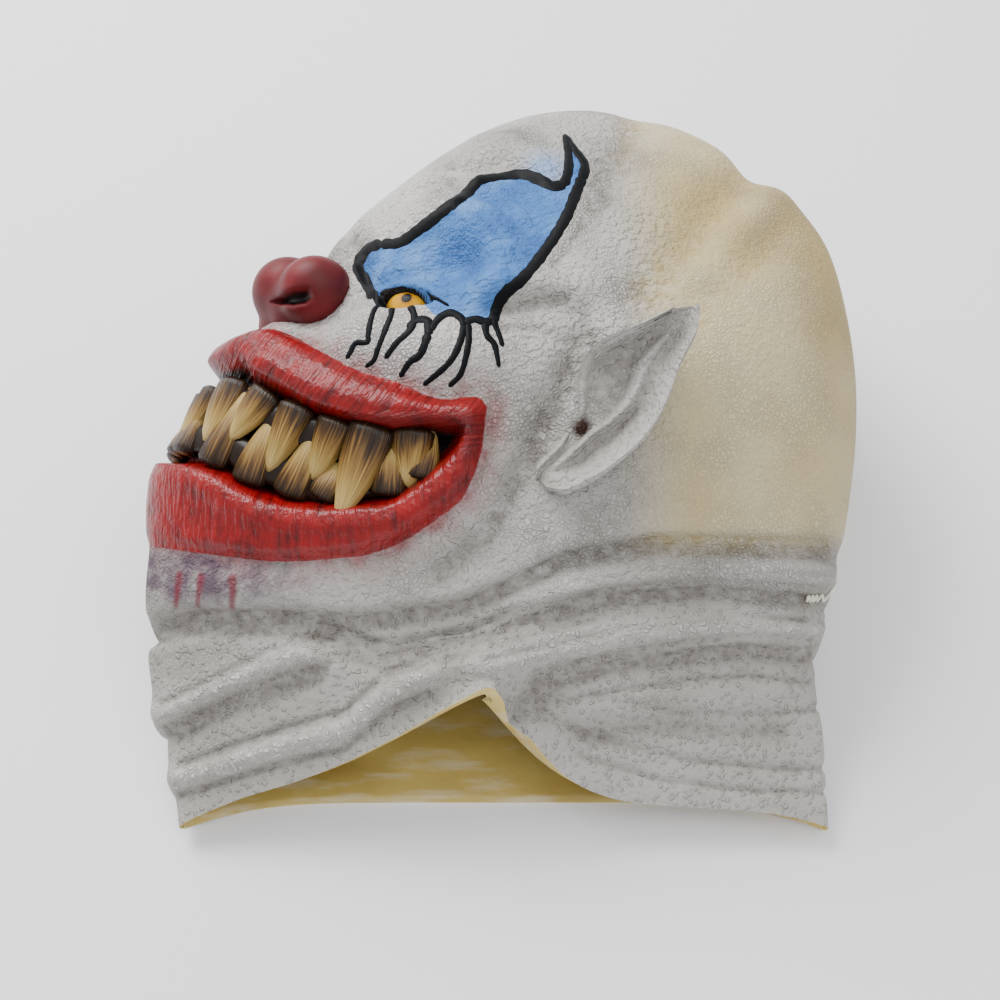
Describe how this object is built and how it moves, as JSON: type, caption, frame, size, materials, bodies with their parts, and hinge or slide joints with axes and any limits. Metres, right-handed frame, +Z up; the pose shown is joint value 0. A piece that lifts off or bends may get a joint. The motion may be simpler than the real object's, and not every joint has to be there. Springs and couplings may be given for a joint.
{
  "type": "clown mask",
  "caption": "Full-head latex clown mask with red lips, long teeth, yellow eyes and pointed ears, lying on its side with the neck opening free",
  "frame": {"origin": "centre of the bounding box of the lying mask, on the table", "axes": "+Z up from the table, the face looks toward -X, the crown points toward +Y, the neck opening toward -Y"},
  "size_m": [0.3172, 0.349, 0.1622],
  "materials": {
    "latex_skin": "painted cast latex, matt, pebbled",
    "nose_paint": "satin dark red paint on cast latex",
    "teeth": "cast resin, stained and varnished",
    "eye": "moulded dome, gloss yellow",
    "thread": "twisted cotton"
  },
  "bodies": {
    "root": {"mask_shell": "latex_skin", "nose": "nose_paint", "upper_teeth": "teeth", "lower_teeth": "teeth", "left_eye": "eye", "right_eye": "eye", "neck_stitch": "thread"}
  },
  "joints": []
}
